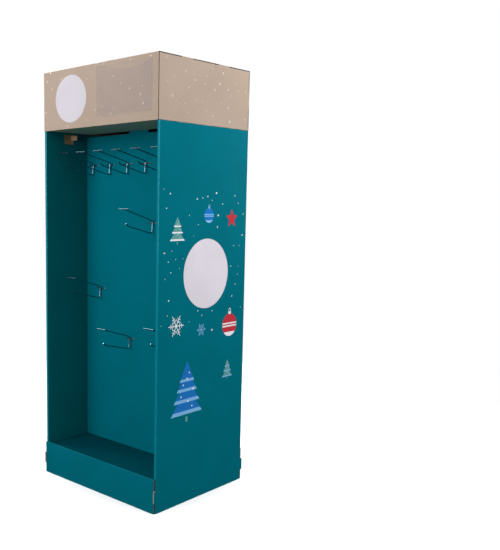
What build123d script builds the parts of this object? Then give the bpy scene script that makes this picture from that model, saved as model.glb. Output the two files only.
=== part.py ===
from build123d import *
import os
from math import cos, radians, sin

# A free-standing, double-sided floor stand folded from corrugated board.
# Two double-ply side walls carry a hollow spine with peg panels at mid depth,
# so there is an open bay in front and another behind. Each bay has a low lip
# and a raised shelf, and a boxed header sits on top. Wire hooks hang from
# holes in the peg panels.
#
# Frame: origin on the floor under the middle of the stand, +Z up, the front
# faces -Y and +X is to the right of a person who looks at the front.
# All sizes are in millimetres.

# Board
board = 3.0
fold_radius = 1.5
slip = 0.3

# Body
body_width = 612.0
body_depth = 500.0
body_height = 1378.0
ply_gap = 4.2

# Spine with its peg panels
spine_depth = 72.0
spine_top_drop = 10.0
centre_tab_width = 100.0
centre_tab_rise = 34.0
joint_tab_height = 60.0
joint_tab_inset = 240.0

# Base sheets and shelves
lip_side_inset = 3.5
lip_height = 127.0
lip_roll_gap = 1.0
shelf_level = 120.0
shelf_side_gap = 3.5
shelf_end_gap = 1.0
lift_notch_radius = 8.0
lift_notch_x = -10.0
finger_height = 46.0
finger_level = 61.0
finger_proud = 1.5
finger_corner = 4.0

# Header
header_height = 222.0
header_overhang = 4.0
leg_clearance = 0.5
leg_length = 60.0
leg_end_gap = 2.0
flap_front_inset = 3.5
flap_rear_inset = 28.0
flap_corner = 18.0
flap_spine_gap = 4.0
glue_flap_width = 35.0
glue_flap_margin = 7.0
header_finger_length = 60.0
header_top_fingers = (-107.5, 96.0)
header_rear_finger_level = 112.0
header_finger_proud = 0.8

# Lock flaps of the header legs, and the windows that they come through
window_width = 50.0
window_height = 37.0
window_top_drop = 6.0
window_y = 136.0
lock_flap_length = 25.0
lock_flap_height = 19.0
lock_flap_drop = 1.0
lock_flap_angle = 50.0
lock_flap_root = 119.0

# Clear sign pockets
film = 0.5
pocket_width = 277.0
pocket_height = 176.0
pocket_gap = 0.8
pocket_seam = 3.0
pocket_side_inset = 28.5
pocket_base_rise = 32.0
pocket_stand_off = 0.3
thumb_notch_width = 228.0
thumb_notch_depth = 26.0
thumb_notch_shift = 22.5

# Hooks, all bent from one wire
wire = 4.5
wire_sides = 8
peg_spacing = 51.0
peg_clearance = 0.35
prong_rise = 14.0
tag_bar_width = 50.0
weld_sink = 0.4
shoulder_rise = 8.0
arm_reach = 160.0
drop_height = 40.0
drop_lean = 4.0
product_arm_reach = 138.0
product_arm_rise = 29.0
product_tip_reach = 12.0
product_tip_rise = 10.0

# The full row of hooks at the top of each panel, as seen from that side: drop of the cross
# bars below the top of the body, rise of the arms at their tips, and insets of the first
# hook from the left wall and of the last from the right one
front_top_row = (125.0, 42.0, 45.0, 56.0)
rear_top_row = (144.0, 55.0, 59.0, 59.0)
front_row_count = 6
rear_row_count = 5

# Single hooks lower down: drop, rise of the arm, and inset from the right wall, or from the
# left wall where it is negative
front_single_hooks = (
    (351.0, 52.0, 212.0),
    (624.0, 51.0, -87.0),
    (781.0, 54.0, 82.0),
    (813.0, 55.0, -260.0),
)
rear_single_hooks = (
    (321.0, 65.0, -262.0),
    (629.0, 50.0, 256.0),
    (813.0, 62.0, -76.0),
)

# Peg holes left free on the rear panel: drop and inset
rear_spare_pegs = ((322.0, -34.0), (322.0, -195.0), (615.0, 63.0))

# Sizes that follow from the ones above
half_width = body_width / 2
half_depth = body_depth / 2
wall_thickness = 2 * board + ply_gap
bay_half_width = half_width - wall_thickness
spine_face = spine_depth / 2
spine_height = body_height - spine_top_drop
spine_half_width = bay_half_width - slip
joint_tab_levels = (joint_tab_inset, body_height - joint_tab_inset)
lip_width = body_width - 2 * lip_side_inset
lip_thickness = 2 * board + lip_roll_gap
lip_back = half_depth + slip
lip_front = lip_back + lip_thickness
header_width = body_width - 2 * (board + leg_clearance)
header_half_width = header_width / 2
header_half_depth = half_depth + header_overhang
header_top = body_height + header_height
pocket_centre = header_half_width - pocket_side_inset - pocket_width / 2
peg_radius = wire / 2 + peg_clearance

os.makedirs("parts", exist_ok=True)


def save(piece, name):
    """Label a finished piece and write it as one STEP file."""
    piece.part.label = name
    export_step(piece.part, f"parts/{name}.step")


def wall_centre(side):
    """X of the middle of a side wall, side being -1 for left and 1 for right."""
    return side * (half_width - wall_thickness / 2)


def make_side_wall(side):
    """Folded wall: an outer and an inner ply joined by a strip at front and rear."""
    inner_ply_x = side * (bay_half_width + board / 2)
    outer_ply_x = side * (half_width - board / 2)
    finger_reach = lip_front + finger_proud - half_depth
    with BuildPart() as wall:
        with BuildSketch():
            with Locations((wall_centre(side), 0)):
                Rectangle(wall_thickness, body_depth)
        extrude(amount=body_height)
        fillet(wall.edges().filter_by(Axis.Z), radius=fold_radius)
        with BuildSketch():
            with Locations((wall_centre(side), 0)):
                Rectangle(ply_gap, body_depth - 2 * board)
        extrude(amount=body_height, mode=Mode.SUBTRACT)

        # Fingers at the foot run on past the lips, cut from the fold strips
        for end in (-1, 1):
            with BuildSketch(Plane.YZ.offset(outer_ply_x - board / 2)):
                with Locations((end * (half_depth + finger_reach / 2), finger_level)):
                    finger = Rectangle(finger_reach + 2 * fold_radius, finger_height)
                tips = finger.vertices().group_by(Axis.Y)[-1 if end > 0 else 0]
                fillet(tips, radius=finger_corner)
            extrude(amount=board)
            with Locations((wall_centre(side), end * (half_depth - board / 2), finger_level)):
                Box(ply_gap, board, finger_height, mode=Mode.SUBTRACT)

            # Window for a lock flap of the header leg
            window_level = body_height - window_top_drop - window_height / 2
            with Locations((inner_ply_x, end * window_y, window_level)):
                Box(board + slip, window_width, window_height, mode=Mode.SUBTRACT)

        # Slots for the joint tabs of the spine
        for level in joint_tab_levels:
            for face in (-1, 1):
                tab_y = face * (spine_face - board / 2)
                with Locations((inner_ply_x, tab_y, level)):
                    Box(board + slip, board + 2 * slip, joint_tab_height + 2 * slip, mode=Mode.SUBTRACT)
    return wall


def place_from_wall(inset):
    """Place along a panel, from its inset to the right wall, or the left one if negative."""
    if inset < 0:
        return -bay_half_width - inset
    return bay_half_width - inset


def hook_places(top_row, count, single_hooks):
    """Every hook of one panel, as (place along it, height of the cross bar, rise of the arm)."""
    drop, arm_rise, first_inset, last_inset = top_row
    first = place_from_wall(-first_inset)
    last = place_from_wall(last_inset)
    hooks = []
    for turn in range(count):
        across = first + (last - first) * turn / (count - 1)
        hooks.append((across, body_height - drop, arm_rise))
    for drop, arm_rise, inset in single_hooks:
        hooks.append((place_from_wall(inset), body_height - drop, arm_rise))
    return hooks


def peg_places(hooks, spare_pegs):
    """Centres of the peg holes on one panel, as (place along it, height)."""
    pegs = []
    for across, height, _ in hooks:
        pegs.append((across - peg_spacing / 2, height))
        pegs.append((across + peg_spacing / 2, height))
    for drop, inset in spare_pegs:
        pegs.append((place_from_wall(inset), body_height - drop))
    return pegs


def make_spine():
    """Hollow post of folded board, with a peg panel on each face."""
    with BuildPart() as spine:
        with BuildSketch():
            Rectangle(2 * spine_half_width, spine_depth)
        extrude(amount=spine_height)
        fillet(spine.edges().filter_by(Axis.Z), radius=fold_radius)
        with BuildSketch():
            Rectangle(2 * (spine_half_width - board), spine_depth - 2 * board)
        extrude(amount=spine_height, mode=Mode.SUBTRACT)
        for face, hooks, spare_pegs in ((-1, front_hooks, ()), (1, rear_hooks, rear_spare_pegs)):
            panel_y = face * (spine_face - board / 2)

            # Centre tab that rises into the header
            with Locations((0, panel_y, spine_height + centre_tab_rise / 2)):
                Box(centre_tab_width, board, centre_tab_rise)

            # Joint tabs that lock into the side walls
            tab_reach = slip + board
            for level in joint_tab_levels:
                for side in (-1, 1):
                    tab_x = side * (spine_half_width - fold_radius + (tab_reach + fold_radius) / 2)
                    with Locations((tab_x, panel_y, level)):
                        Box(tab_reach + fold_radius, board, joint_tab_height)

            # Peg holes
            with BuildSketch(Plane.XZ.offset(-panel_y - board)):
                for across, height in peg_places(hooks, spare_pegs):
                    with Locations((-face * across, height)):
                        Circle(peg_radius)
            extrude(amount=2 * board, mode=Mode.SUBTRACT)
    return spine


def make_base(end):
    """Rolled lip and the base panel under one bay, end being -1 in front, 1 behind."""
    panel_back = spine_face + slip
    panel_depth = lip_back + board - panel_back
    with BuildPart() as base:
        with BuildSketch():
            with Locations((0, end * (lip_front + lip_back) / 2)):
                Rectangle(lip_width, lip_thickness)
        extrude(amount=lip_height)
        rim = base.edges().filter_by(Axis.X).group_by(Axis.Z)[-1]
        fillet(rim, radius=fold_radius)
        with BuildSketch():
            with Locations((0, end * (lip_front + lip_back) / 2)):
                Rectangle(lip_width, lip_roll_gap)
        extrude(amount=lip_height - board, mode=Mode.SUBTRACT)
        with BuildSketch():
            with Locations((0, end * (panel_back + panel_depth / 2))):
                Rectangle(2 * (bay_half_width - slip), panel_depth)
        extrude(amount=board)
    return base


def make_shelf(end):
    """Inverted tray that raises the floor of a bay, with a notch to lift it by."""
    shelf_depth = lip_back - spine_face - 2 * shelf_end_gap
    shelf_width = 2 * (bay_half_width - shelf_side_gap)
    shelf_y = end * (lip_back + spine_face) / 2
    shelf_height = shelf_level - board
    with BuildPart() as shelf:
        with BuildSketch(Plane.XY.offset(board)):
            with Locations((0, shelf_y)):
                Rectangle(shelf_width, shelf_depth)
        extrude(amount=shelf_height)
        fillet(shelf.faces().sort_by(Axis.Z)[-1].edges(), radius=fold_radius)
        with BuildSketch(Plane.XY.offset(board)):
            with Locations((0, shelf_y)):
                Rectangle(shelf_width - 2 * board, shelf_depth - 2 * board)
        extrude(amount=shelf_height - board, mode=Mode.SUBTRACT)

        # The four flanges stand apart at the corners, as cut ends of board do
        for side in (-1, 1):
            for flange in (-1, 1):
                corner_x = side * (shelf_width / 2 - board / 2)
                corner_y = shelf_y + flange * (shelf_depth / 2 - board - slip / 2)
                with Locations((corner_x, corner_y, board + (shelf_height - board) / 2)):
                    Box(board, slip, shelf_height - board, mode=Mode.SUBTRACT)

        # Lift notch at the spine
        notch_y = end * (spine_face + shelf_end_gap)
        with Locations((-end * lift_notch_x, notch_y, shelf_level)):
            Cylinder(lift_notch_radius, 4 * board, mode=Mode.SUBTRACT)
    return shelf


def make_header_wrap():
    """One sheet folded round front, top and rear, with a flap under each bay."""
    flap_edge = spine_face + flap_spine_gap
    front_x = bay_half_width - flap_front_inset
    rear_x = bay_half_width - flap_rear_inset
    with BuildPart() as wrap:
        with BuildSketch(Plane.YZ.offset(-header_half_width)):
            with Locations((0, body_height + header_height / 2)):
                Rectangle(2 * header_half_depth, header_height)
        extrude(amount=header_width)
        fillet(wrap.edges().filter_by(Axis.X), radius=fold_radius)
        with BuildSketch(Plane.YZ.offset(-header_half_width)):
            with Locations((0, body_height + header_height / 2)):
                Rectangle(2 * (header_half_depth - board), header_height - 2 * board)
        extrude(amount=header_width, mode=Mode.SUBTRACT)

        # The bottom keeps only two tapered flaps with cut corners
        with BuildSketch(Plane.XY.offset(body_height)):
            Rectangle(header_width, 2 * (header_half_depth - board))
            for end in (-1, 1):
                with BuildLine():
                    Polyline(
                        (-front_x, end * header_half_depth),
                        (-rear_x, end * (flap_edge + flap_corner)),
                        (-rear_x + flap_corner, end * flap_edge),
                        (rear_x - flap_corner, end * flap_edge),
                        (rear_x, end * (flap_edge + flap_corner)),
                        (front_x, end * header_half_depth),
                        close=True,
                    )
                make_face(mode=Mode.SUBTRACT)
        extrude(amount=board, mode=Mode.SUBTRACT)

        # Notches for the fingers of the header sides
        notch_length = header_finger_length + 2 * slip
        for side in (-1, 1):
            notch_x = side * (header_half_width - board / 2)
            for place in header_top_fingers:
                with Locations((notch_x, place, header_top - board / 2)):
                    Box(board + slip, notch_length, board, mode=Mode.SUBTRACT)
            with Locations((notch_x, header_half_depth - board / 2, body_height + header_rear_finger_level)):
                Box(board + slip, board, notch_length, mode=Mode.SUBTRACT)
    return wrap


def make_header_side(side):
    """End panel of the header, with a leg that drops between the plies of the wall."""
    panel_x = side * (header_half_width - board / 2)
    panel_reach = header_half_depth - board - slip
    leg_reach = half_depth - board - leg_end_gap
    with BuildPart() as panel:
        with BuildSketch(Plane.YZ.offset(panel_x - board / 2)):
            with Locations((0, body_height + (header_height - board - slip) / 2)):
                Rectangle(2 * panel_reach, header_height - board - slip)
            with Locations((0, body_height - leg_length / 2)):
                Rectangle(2 * leg_reach, leg_length)
            for place in header_top_fingers:
                with Locations((place, header_top - board)):
                    Rectangle(header_finger_length, 2 * board)
            finger_tip = header_half_depth + header_finger_proud
            with Locations((finger_tip - 2 * board, body_height + header_rear_finger_level)):
                Rectangle(4 * board, header_finger_length)
        extrude(amount=board)

        # Glue flap folded behind the front of the header
        flap_height = header_height - board - 2 * glue_flap_margin
        flap_x = side * (header_half_width - glue_flap_width / 2)
        with BuildSketch(Plane.XY.offset(body_height + glue_flap_margin)):
            with Locations((flap_x, -panel_reach + board / 2)):
                Rectangle(glue_flap_width, board)
        extrude(amount=flap_height)

        # Lock flaps, cut from the leg and sprung out into the bay
        flap_level = body_height - window_top_drop - lock_flap_drop - lock_flap_height / 2
        across = sin(radians(lock_flap_angle))
        along = cos(radians(lock_flap_angle))
        for end in (-1, 1):
            cut_y = end * (lock_flap_root + lock_flap_length / 2)
            with Locations((panel_x, cut_y, flap_level)):
                Box(board + slip, lock_flap_length, lock_flap_height + 2 * slip, mode=Mode.SUBTRACT)
            flap_plane = Plane(
                origin=(panel_x, end * lock_flap_root, flap_level - lock_flap_height / 2),
                x_dir=(-side * across, -end * along, 0),
                z_dir=(0, 0, 1),
            )
            with BuildSketch(flap_plane):
                with Locations((lock_flap_length / 2, 0)):
                    Rectangle(lock_flap_length, board)
            extrude(amount=lock_flap_height)
    return panel


def make_sign_pocket(end):
    """Flat pocket of clear film: two plies, welded at three sides, open at the top."""
    thickness = 2 * film + pocket_gap
    face_y = header_half_depth + pocket_stand_off
    base_z = body_height + pocket_base_rise
    centre_x = -end * pocket_centre
    with BuildPart() as pocket:
        with BuildSketch(Plane.XY.offset(base_z)):
            with Locations((centre_x, end * (face_y + thickness / 2))):
                Rectangle(pocket_width, thickness)
        extrude(amount=pocket_height)
        with BuildSketch(Plane.XY.offset(base_z + pocket_seam)):
            with Locations((centre_x, end * (face_y + thickness / 2))):
                Rectangle(pocket_width - 2 * pocket_seam, pocket_gap)
        extrude(amount=pocket_height, mode=Mode.SUBTRACT)

        # Shallow thumb notch in the outer ply
        notch_top = base_z + pocket_height
        notch_x = -end * (pocket_centre + thumb_notch_shift)
        with BuildSketch(Plane.XZ.offset(-end * (face_y + thickness))):
            with BuildLine():
                ThreePointArc(
                    (notch_x - thumb_notch_width / 2, notch_top),
                    (notch_x, notch_top - thumb_notch_depth),
                    (notch_x + thumb_notch_width / 2, notch_top),
                )
                Line((notch_x + thumb_notch_width / 2, notch_top), (notch_x - thumb_notch_width / 2, notch_top))
            make_face()
        extrude(amount=end * (film + pocket_gap / 2), mode=Mode.SUBTRACT)
    return pocket


def draw_wire_section():
    """Section of a wire, with flats in place of the round, as wide across as the wire."""
    RegularPolygon(wire / 2, wire_sides, major_radius=False, rotation=180 / wire_sides)


def make_hook(end, across, height, arm_rise):
    """Welded wire hook for one place on a peg panel, seen from its own side."""
    outward = (0, end, 0)
    origin = (-end * across, end * spine_face, height)
    side_plane = Plane(origin=origin, x_dir=outward, z_dir=(end, 0, 0))
    face_plane = Plane(origin=origin, x_dir=(-end, 0, 0), z_dir=outward)
    bar_out = slip + wire / 2
    stem_out = bar_out + wire - weld_sink
    prong_out = -board - slip - wire / 2
    half_span = peg_spacing / 2
    with BuildPart() as hook:
        # Arm for the price tag, drop at the panel and arm for the goods, in one wire
        with BuildLine(side_plane):
            stem = Polyline(
                (arm_reach, arm_rise),
                (stem_out - drop_lean * shoulder_rise / drop_height, shoulder_rise),
                (stem_out + drop_lean, -drop_height),
                (product_arm_reach, -drop_height + product_arm_rise),
                (product_arm_reach + product_tip_reach, -drop_height + product_arm_rise + product_tip_rise),
            )
        with BuildSketch(Plane(origin=stem @ 0, x_dir=(1, 0, 0), z_dir=stem % 0)):
            draw_wire_section()
        sweep(path=stem, transition=Transition.RIGHT)

        # Cross bar, bent back through two peg holes and up behind the panel
        corners = (
            (-half_span, prong_rise, prong_out),
            (-half_span, 0, prong_out),
            (-half_span, 0, bar_out),
            (half_span, 0, bar_out),
            (half_span, 0, prong_out),
            (half_span, prong_rise, prong_out),
        )
        with BuildLine():
            bar = Polyline(*[face_plane.from_local_coords(corner) for corner in corners])
        with BuildSketch(Plane(origin=bar @ 0, x_dir=(1, 0, 0), z_dir=bar % 0)):
            draw_wire_section()
        sweep(path=bar, transition=Transition.RIGHT)

        # Bar for the price tag, welded across the end of the arm
        bar_end = (stem @ 0) - (stem % 0) * (wire / 2 - weld_sink) - Vector(tag_bar_width / 2, 0, 0)
        with BuildSketch(Plane(origin=bar_end, x_dir=stem % 0, z_dir=(1, 0, 0))):
            draw_wire_section()
        extrude(amount=tag_bar_width)
    return hook


front_hooks = hook_places(front_top_row, front_row_count, front_single_hooks)
rear_hooks = hook_places(rear_top_row, rear_row_count, rear_single_hooks)

for side, word in ((-1, "left"), (1, "right")):
    save(make_side_wall(side), f"side_wall_{word}")
    save(make_header_side(side), f"header_side_{word}")

save(make_spine(), "spine")
save(make_header_wrap(), "header_wrap")

for end, word, hooks in ((-1, "front", front_hooks), (1, "rear", rear_hooks)):
    save(make_base(end), f"base_{word}")
    save(make_shelf(end), f"shelf_{word}")
    save(make_sign_pocket(end), f"sign_pocket_{word}")
    for number, (across, height, arm_rise) in enumerate(hooks, start=1):
        save(make_hook(end, across, height, arm_rise), f"hook_{word}_{number}")
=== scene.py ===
# %% [markdown]
# # A cardboard display stand
#
# The stand is a free-standing shop display: two side walls of corrugated board carry a hollow
# spine with a peg panel on each face, so there is one bay in front and one behind. A boxed
# header sits on top, and wire hooks hang from holes in the panels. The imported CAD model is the
# frame of this lesson. It gives each piece its place and size, and the lesson gives each piece
# the finish of the real one: printed board, raw cut edges, zinc wire and clear film.

# %% Load the frame
import random
from math import cos, pi, radians, sin

import bpy
from mathutils import Matrix, Vector


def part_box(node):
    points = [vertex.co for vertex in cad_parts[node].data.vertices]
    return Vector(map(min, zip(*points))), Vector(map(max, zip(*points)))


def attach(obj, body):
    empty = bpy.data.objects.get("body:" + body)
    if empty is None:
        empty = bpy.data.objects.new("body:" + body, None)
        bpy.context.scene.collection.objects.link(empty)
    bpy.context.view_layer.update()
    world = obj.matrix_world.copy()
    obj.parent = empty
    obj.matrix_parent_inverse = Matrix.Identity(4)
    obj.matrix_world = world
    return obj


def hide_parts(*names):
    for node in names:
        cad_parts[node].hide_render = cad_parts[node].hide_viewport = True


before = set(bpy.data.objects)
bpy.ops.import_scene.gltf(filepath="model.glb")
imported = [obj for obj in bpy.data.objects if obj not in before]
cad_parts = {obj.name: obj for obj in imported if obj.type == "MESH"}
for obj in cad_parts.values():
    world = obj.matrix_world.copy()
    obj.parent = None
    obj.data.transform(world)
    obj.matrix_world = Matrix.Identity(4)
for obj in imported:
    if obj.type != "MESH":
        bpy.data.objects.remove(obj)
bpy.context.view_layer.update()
bpy.ops.object.select_all(action="DESELECT")
mm = 0.001

# %% [markdown]
# ## The camera
#
# The photograph was taken from the front right, a little above half height. The camera is
# placed by its position and by the directions in which it looks and leans. The stand is not in
# the middle of the photograph, so the lens is shifted by as much as that framing needs.

# %% Place the camera
def add_object(name, data):
    """A new object in the scene, made from its data."""
    item = bpy.data.objects.new(name, data)
    bpy.context.scene.collection.objects.link(item)
    return item


camera_place = Vector((2.0035, -2.0945, 1.0908))
camera_turn = -0.7827
camera_dip = -0.1218
camera_roll = 0.0063

level_ahead = Vector((sin(camera_turn), cos(camera_turn), 0))
level_right = Vector((cos(camera_turn), -sin(camera_turn), 0))
ahead = level_ahead * cos(camera_dip) + Vector((0, 0, sin(camera_dip)))
level_up = level_right.cross(ahead)
right = level_right * cos(camera_roll) + level_up * sin(camera_roll)
up = level_up * cos(camera_roll) - level_right * sin(camera_roll)

camera_data = bpy.data.cameras.new("camera")
camera = add_object("camera", camera_data)
bpy.context.scene.camera = camera
camera.matrix_world = Matrix((
    (right.x, up.x, -ahead.x, camera_place.x),
    (right.y, up.y, -ahead.y, camera_place.y),
    (right.z, up.z, -ahead.z, camera_place.z),
    (0, 0, 0, 1),
))
camera_data.sensor_width = 36
camera_data.lens = 48.09
camera_data.shift_x = 0.219
camera_data.shift_y = 0.038
print("camera looks along", [round(value, 3) for value in ahead])

# %% [markdown]
# ## Shader nodes
#
# The sky and all finishes are built from shader nodes. By hand one would add and link them in
# the Shader Editor. The same few nodes come back in every finish, so each gets a helper that
# adds it, feeds its inputs and returns its output, and a finish becomes a few lines to read.

# %% Helpers that feed and mix
def feed(tree, socket, value):
    """Set a socket to a number or colour, or link it to another node's output."""
    if isinstance(value, bpy.types.NodeSocket):
        tree.links.new(value, socket)
    else:
        socket.default_value = value


def feed_all(tree, node, values):
    """Feed several inputs of a node, which are given by their names."""
    for name, value in values.items():
        feed(tree, node.inputs[name], value)


def blend(tree, share, low, high, kind="RGBA"):
    """The output of a node that mixes two colours, or two numbers where kind is FLOAT."""
    node = tree.nodes.new("ShaderNodeMix")
    node.data_type = kind
    feed_all(tree, node, {"Factor": share, "A": low, "B": high})
    return node.outputs["Result"]


def map_range(tree, value, low, high, new_low=0.0, new_high=1.0):
    """The output of a Map Range node that clamps."""
    node = tree.nodes.new("ShaderNodeMapRange")
    feed_all(tree, node, {"Value": value, "From Min": low, "From Max": high})
    feed_all(tree, node, {"To Min": new_low, "To Max": new_high})
    return node.outputs["Result"]


def along(tree, place, direction):
    """How far a point lies along a direction."""
    node = tree.nodes.new("ShaderNodeVectorMath")
    node.operation = "DOT_PRODUCT"
    feed(tree, node.inputs[0], place)
    feed(tree, node.inputs[1], direction)
    return node.outputs["Value"]


# %% [markdown]
# ## The floor
#
# A pale floor in a white surround stands for a photographer's studio. It takes the stand's
# shadow, but it throws no light back and isn't mirrored in the varnish, so the foot of the
# stand stays darker than its top, as in the photograph.

# %% Lay the floor
floor_radius = 2.3
floor_grey = 0.80
bpy.ops.mesh.primitive_circle_add(vertices=128, radius=floor_radius, fill_type="NGON")
floor = bpy.context.object
floor.name = "floor"
floor_paint = bpy.data.materials.new("floor_paint")
floor_paint.use_nodes = True
floor_shader = floor_paint.node_tree.nodes["Principled BSDF"]
floor_look = {"Base Color": (floor_grey, floor_grey, floor_grey, 1), "Roughness": 0.9}
feed_all(floor_paint.node_tree, floor_shader, floor_look)
floor.data.materials.append(floor_paint)
floor.visible_diffuse = False
floor.visible_glossy = False
print("floor:", 2 * floor_radius, "m across")

# %% [markdown]
# ## The sky
#
# The sky that lights the stand is dimmer than the one that the camera sees. This keeps the
# background white without washing out the dark of the bays. Below the horizon it fades to the
# little light that a studio floor would return.

# %% Set the sky
sky_seen = 1.0
sky_light = 0.75
ground_light = 0.18
horizon_band = 0.15
sky = bpy.data.worlds.new("sky")
sky.use_nodes = True
sky_tree = sky.node_tree
ray = sky_tree.nodes.new("ShaderNodeTexCoord").outputs["Generated"]
from_camera = sky_tree.nodes.new("ShaderNodeLightPath").outputs["Is Camera Ray"]
ray_rise = along(sky_tree, ray, (0, 0, 1))
glow = map_range(sky_tree, ray_rise, -horizon_band, horizon_band, ground_light, sky_light)
sky_strength = blend(sky_tree, from_camera, glow, sky_seen, "FLOAT")
sky_look = {"Color": (1, 1, 1, 1), "Strength": sky_strength}
feed_all(sky_tree, sky_tree.nodes["Background"], sky_look)
bpy.context.scene.world = sky
bpy.context.scene.view_settings.view_transform = "Standard"
print("sky:", sky_seen, "for the camera,", sky_light, "from above,", ground_light, "from below")

# %% [markdown]
# ## Soft panels
#
# The stand is lit by four soft panels, one for each side. The side panels stand well above its
# top, so the walls grow darker towards the foot. The front and rear ones are level with it and
# a little to the left of each opening: they light the peg panels and leave one inner wall of
# each bay in the dark.

# %% Set the soft panels
panel_distance = 2.2
panel_size = 1.5
panel_aim = Vector((0, 0, 0.95))
# Each panel: direction from the stand in degrees, height in metres, power in watts.
panels = {
    "front": (-96, 1.55, 45),
    "right": (14, 2.5, 68),
    "rear": (84, 1.55, 45),
    "left": (194, 2.7, 65),
}
for word, (turn, height, power) in panels.items():
    light_data = bpy.data.lights.new(f"soft_panel_{word}", "AREA")
    light_data.size = panel_size
    light_data.energy = power
    light = add_object(light_data.name, light_data)
    angle = radians(turn)
    light.location = (panel_distance * cos(angle), panel_distance * sin(angle), height)
    light.rotation_euler = (panel_aim - light.location).to_track_quat("-Z", "Y").to_euler()
    light.visible_camera = False
print("soft panels:", list(panels))

# %% [markdown]
# ## Printed board
#
# The board is corrugated: a wavy sheet, the fluting, is glued between two flat liners. The
# flutes telegraph through the print as faint ribs, and the liner sags a little between them.
# Both are far too shallow to model, so they are bump. The height is worked out in metres: a
# sine for the flutes, slow noise for the sag and fine noise for the paper grain.

# %% Helpers for finishes
def new_finish(name):
    """A new material with its node tree, its shader and the point of the surface in metres."""
    material = bpy.data.materials.new(name)
    material.use_nodes = True
    tree = material.node_tree
    place = tree.nodes.new("ShaderNodeTexCoord").outputs["Object"]
    return material, tree, tree.nodes["Principled BSDF"], place


def calculate(tree, operation, *values):
    """The output of a Math node."""
    node = tree.nodes.new("ShaderNodeMath")
    node.operation = operation
    for socket, value in zip(node.inputs, values):
        feed(tree, socket, value)
    return node.outputs[0]


def noise(tree, place, size, detail=2.0):
    """Noise whose features are about that size, in metres."""
    node = tree.nodes.new("ShaderNodeTexNoise")
    feed_all(tree, node, {"Vector": place, "Scale": 1 / size, "Detail": detail})
    return node.outputs["Fac"]


def times(tree, one, other):
    """The product of two values, such as a pattern and the height that it stands for."""
    return calculate(tree, "MULTIPLY", one, other)


def bump(tree, shader, height):
    """Tilt the surface by a height that is given in metres."""
    node = tree.nodes.new("ShaderNodeBump")
    feed_all(tree, node, {"Distance": 1.0, "Height": height})
    tree.links.new(node.outputs["Normal"], shader.inputs["Normal"])


def shade_of(colour, share):
    """The same colour, lighter or darker, with its alpha."""
    return tuple(value * share for value in colour[:3]) + (1,)


# %% [markdown]
# One function makes every printed board. Its ribs run across a direction that is given to it,
# because the flutes stand upright in the walls and lie from front to back in the shelf floors.
# In the header wrap they do both, since the sheet is folded over the top. The ink comes out a
# little uneven: it has lighter patches, and it is thinner on the crests of the ribs.

# %% Printed board
flute_pitch = 6.4 * mm
flute_relief = 0.022 * mm
sag_size = 90 * mm
sag_relief = 0.35 * mm
grain_size = 0.9 * mm
grain_relief = 0.006 * mm
ink_patch_size = 160 * mm
ink_on_crests = 0.04
varnish_level = 0.004
varnish_change = 0.06
satin = 0.36
matt = 0.42


def board_height(tree, place, across):
    """Height of the liner over its mean plane: flutes, sag and paper grain."""
    phase = times(tree, along(tree, place, across), 2 * pi / flute_pitch)
    ribs = times(tree, calculate(tree, "SINE", phase), flute_relief)
    sag = times(tree, noise(tree, place, sag_size, 1.0), sag_relief)
    grain = times(tree, noise(tree, place, grain_size, 3.0), grain_relief)
    return calculate(tree, "ADD", calculate(tree, "ADD", ribs, sag), grain), ribs


def printed_board(name, ink, across, roughness, specks=None, plane=None, foot=None):
    """Board with a varnished field of ink, if asked with snow in it or a painted shadow along its
    foot.
    """
    material, tree, shader, place = new_finish(name)
    height, ribs = board_height(tree, place, across)
    bump(tree, shader, height)
    patch = map_range(tree, noise(tree, place, ink_patch_size, 3.0), 0.3, 0.7)
    colour = blend(tree, patch, shade_of(ink, 0.95), shade_of(ink, 1.04))
    crest = map_range(tree, ribs, -flute_relief, flute_relief, 0.0, ink_on_crests)
    colour = blend(tree, crest, colour, shade_of(ink, 1.5))
    if specks:
        snow = snow_specks(tree, flat_place(tree, place, plane))
        colour = blend(tree, snow, colour, specks)
    # A painted shadow along the foot, where the sheet stands on another one.
    if foot:
        colour = blend(tree, joint_shadow_share(tree, place, foot), colour, joint_shadow_colour)
    feed_all(tree, shader, {
        "Base Color": colour,
        "Roughness": map_range(tree, patch, 0, 1, roughness, roughness + varnish_change),
        "Specular IOR Level": varnish_level,
    })
    return material


print("flutes in a metre of board:", round(1 / flute_pitch))

# %% [markdown]
# The snow on the header is printed too. It comes from round cells in the shader: each cell may hold
# one dot with a radius and a strength of its own. Where the ends of the header stand on the walls,
# a thin painted shadow runs along their foot, for the shade in the gap between the parts.

# %% Printed snow and the painted joint shadow
# Each kind of dot: size of its cells, share of empty cells, smallest and largest radius and
# softness of the rim, the last three in cells.
crisp_flakes = (48 * mm, 0.45, 0.045, 0.090, 0.045)
blurred_flakes = (88 * mm, 0.40, 0.060, 0.095, 0.090)
fine_snow = (4.4 * mm, 0.15, 0.18, 0.50, 0.45)
blurred_strength = 0.6
drift_size = 210 * mm
drift_least = 0.03
drift_most = 0.26
joint_height = 1.2 * mm
joint_fade = 1.4 * mm
joint_gap_size = 45 * mm


def joint_shadow_share(tree, place, foot):
    """Share of painted shadow along the lower edge of a sheet, where it stands on another one."""
    height = along(tree, place, (0, 0, 1))
    top = foot + joint_height
    line = map_range(tree, height, top, top + joint_fade, 1.0, 0.0)
    depth = map_range(tree, noise(tree, place, joint_gap_size, 1.0), 0.38, 0.58, 0.45, 1.0)
    return times(tree, line, depth)


def flat_place(tree, place, plane):
    """The point on a flat map, given by two directions that lie in the printed faces."""
    node = tree.nodes.new("ShaderNodeCombineXYZ")
    for socket, direction in zip(node.inputs, plane):
        feed(tree, socket, along(tree, place, direction))
    return node.outputs["Vector"]


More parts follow.
